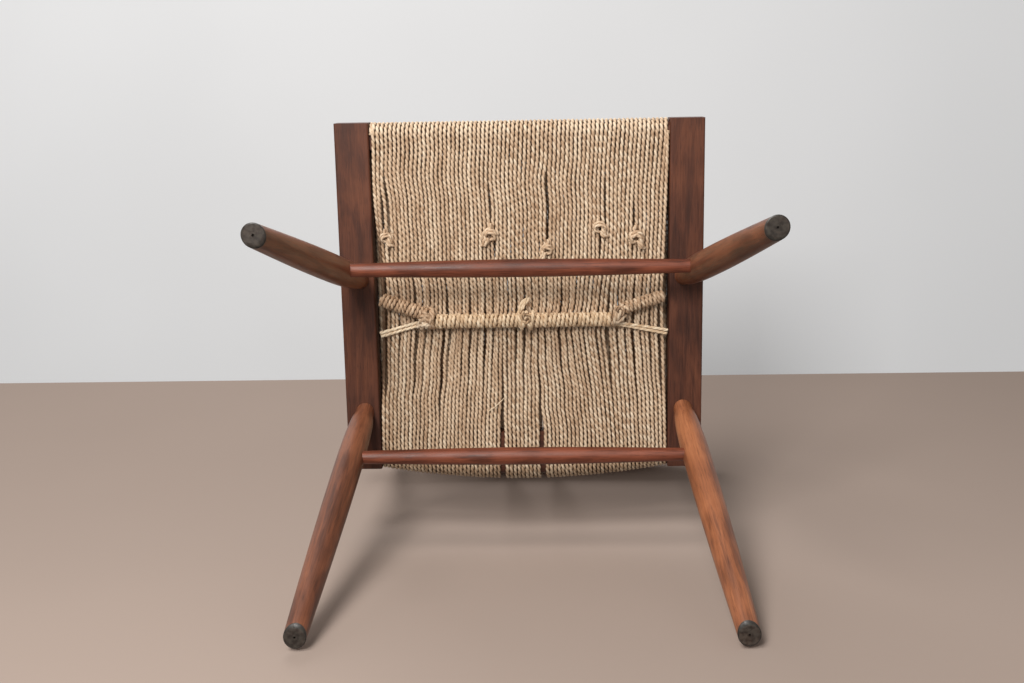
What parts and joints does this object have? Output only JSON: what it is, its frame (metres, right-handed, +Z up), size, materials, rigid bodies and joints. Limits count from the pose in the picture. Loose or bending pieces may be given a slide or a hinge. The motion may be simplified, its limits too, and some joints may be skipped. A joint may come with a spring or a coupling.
{
  "type": "cord seat chair",
  "caption": "Low chair with a wound cord seat between walnut rails, splayed turned legs, two stretchers and a curved crest rail.",
  "frame": {"origin": "on the floor, under the middle of the chair's overall width and depth", "axes": "+Z up, the front of the seat towards -Y, +X to the right of someone who looks at the front"},
  "size_m": [0.5706, 0.5716, 0.701],
  "materials": {
    "walnut_dark": "satin oiled walnut, dark",
    "walnut_red": "satin oiled walnut, reddish",
    "cord": "twisted natural fibre, straw coloured",
    "cord_dark": "twisted natural fibre, aged"
  },
  "bodies": {
    "root": {"side_rail_left": "walnut_dark", "side_rail_right": "walnut_dark", "front_bar": "walnut_dark", "rear_bar": "walnut_dark", "leg_front_left": "walnut_red", "leg_front_right": "walnut_red", "leg_rear_left": "walnut_red", "leg_rear_right": "walnut_red", "stretcher_front": "walnut_red", "stretcher_rear": "walnut_red", "back_post_left": "walnut_red", "back_post_right": "walnut_red", "back_spindle_left": "walnut_red", "back_spindle_right": "walnut_red", "crest_rail": "walnut_dark", "seat_cord_left": "cord", "seat_cord_middle": "cord", "seat_cord_right": "cord", "cord_knots": "cord_dark", "tie_core_left": "cord_dark", "tie_core_middle": "cord_dark", "tie_core_right": "cord_dark", "tie_wrap_left": "cord", "tie_wrap_middle": "cord", "tie_wrap_right": "cord", "tie_knot_left": "cord_dark", "tie_knot_right": "cord_dark", "tie_tail_left": "cord", "tie_tail_right": "cord"}
  },
  "joints": []
}
